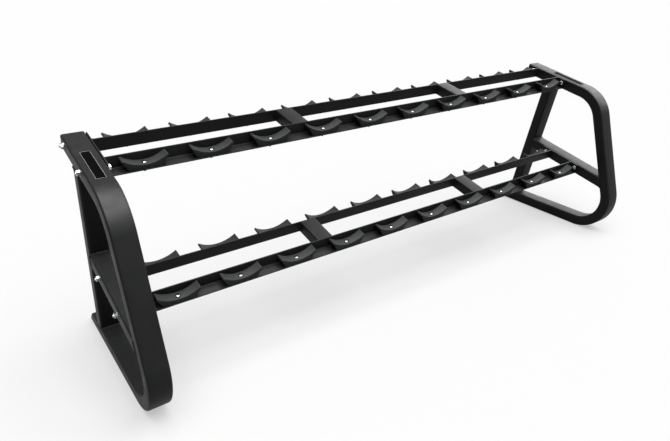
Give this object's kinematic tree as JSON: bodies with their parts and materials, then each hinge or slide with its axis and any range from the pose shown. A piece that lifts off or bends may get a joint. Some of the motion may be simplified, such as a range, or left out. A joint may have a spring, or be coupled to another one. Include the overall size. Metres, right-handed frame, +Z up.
{
  "type": "dumbbell rack",
  "caption": "Free-standing two-tier dumbbell rack with bent-tube end frames, sloping rail ladders and curved saddles that cradle the dumbbell heads.",
  "frame": {"origin": "middle of the footprint, on the floor", "axes": "+X along the rack to its right-hand end, +Y to the rear, +Z up; the low front of each tier faces -Y"},
  "size_m": [2.4916, 0.743, 0.793],
  "materials": {
    "frame": "satin black powder coat",
    "rail": "satin black powder coat",
    "saddle": "matte moulded dark grey",
    "fastener": "bright zinc plated",
    "cap": "matte black moulded plug"
  },
  "bodies": {
    "root": {"loop_left": "frame", "upright_left": "frame", "crossbar_left": "frame", "cap_top_left": "cap", "cap_base_left": "cap", "bolt_upper_front_left": "fastener", "bolt_upper_rear_left": "fastener", "bolt_lower_front_left": "fastener", "bolt_lower_rear_left": "fastener", "loop_right": "frame", "upright_right": "frame", "crossbar_right": "frame", "cap_top_right": "cap", "cap_base_right": "cap", "bolt_upper_front_right": "fastener", "bolt_upper_rear_right": "fastener", "bolt_lower_front_right": "fastener", "bolt_lower_rear_right": "fastener", "ladder_upper": "rail", "saddle_upper_front_01": "saddle", "saddle_upper_front_02": "saddle", "saddle_upper_front_03": "saddle", "saddle_upper_front_04": "saddle", "saddle_upper_front_05": "saddle", "saddle_upper_front_06": "saddle", "saddle_upper_front_07": "saddle", "saddle_upper_front_08": "saddle", "saddle_upper_front_09": "saddle", "saddle_upper_front_10": "saddle", "saddle_upper_rear_01": "saddle", "saddle_upper_rear_02": "saddle", "saddle_upper_rear_03": "saddle", "saddle_upper_rear_04": "saddle", "saddle_upper_rear_05": "saddle", "saddle_upper_rear_06": "saddle", "saddle_upper_rear_07": "saddle", "saddle_upper_rear_08": "saddle", "saddle_upper_rear_09": "saddle", "saddle_upper_rear_10": "saddle", "ladder_lower": "rail", "saddle_lower_front_01": "saddle", "saddle_lower_front_02": "saddle", "saddle_lower_front_03": "saddle", "saddle_lower_front_04": "saddle", "saddle_lower_front_05": "saddle", "saddle_lower_front_06": "saddle", "saddle_lower_front_07": "saddle", "saddle_lower_front_08": "saddle", "saddle_lower_front_09": "saddle", "saddle_lower_front_10": "saddle", "saddle_lower_rear_01": "saddle", "saddle_lower_rear_02": "saddle", "saddle_lower_rear_03": "saddle", "saddle_lower_rear_04": "saddle", "saddle_lower_rear_05": "saddle", "saddle_lower_rear_06": "saddle", "saddle_lower_rear_07": "saddle", "saddle_lower_rear_08": "saddle", "saddle_lower_rear_09": "saddle", "saddle_lower_rear_10": "saddle"}
  },
  "joints": []
}
